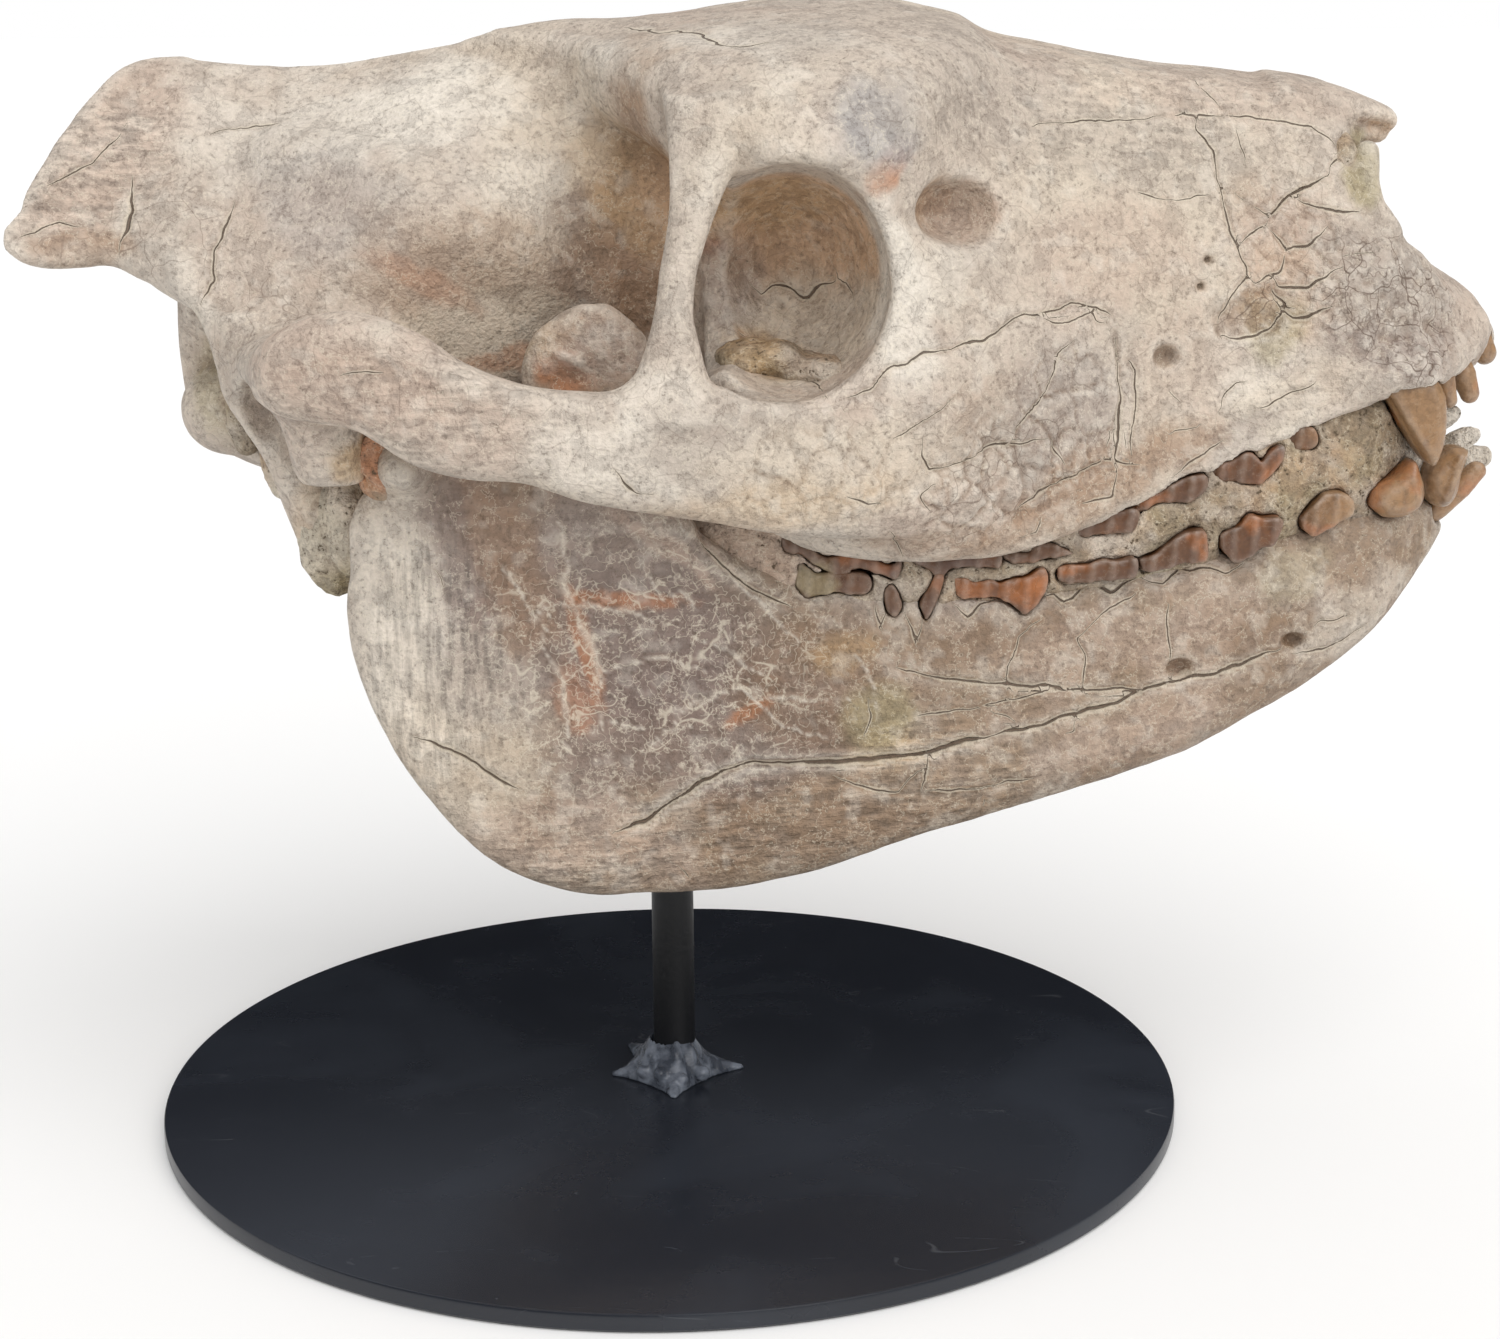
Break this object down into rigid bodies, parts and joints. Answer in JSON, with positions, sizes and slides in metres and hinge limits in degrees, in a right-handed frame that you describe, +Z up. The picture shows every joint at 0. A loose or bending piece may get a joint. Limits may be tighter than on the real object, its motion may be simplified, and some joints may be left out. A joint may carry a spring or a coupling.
{
  "type": "oreodont skull fossil",
  "caption": "Life-size fossil oreodont skull, cranium and lower jaw locked together by rock, on a steel stem and a round black plate.",
  "frame": {"origin": "centre of the round plate's underside, where the stand rests", "axes": "+X towards the nose, +Y the animal's left side, +Z up"},
  "size_m": [0.2089, 0.1524, 0.1617],
  "materials": {
    "bone": "pale beige mineralised bone, matt, cracked and stained",
    "jaw_bone": "grey-brown mineralised bone with rust streaks and pale veins",
    "enamel": "caramel-brown fossil enamel, half gloss",
    "rock": "grey-green granular siltstone",
    "black_steel": "satin black paint, lightly scuffed",
    "glue": "clear hot-melt glue, grey over the black plate"
  },
  "bodies": {
    "root": {"stand_plate": "black_steel", "stand_stem": "black_steel", "stand_glue": "glue", "cranium": "bone", "zygomatic_arch_left": "bone", "zygomatic_arch_right": "bone", "mandible": "jaw_bone", "rock_matrix": "rock"}
  },
  "joints": []
}
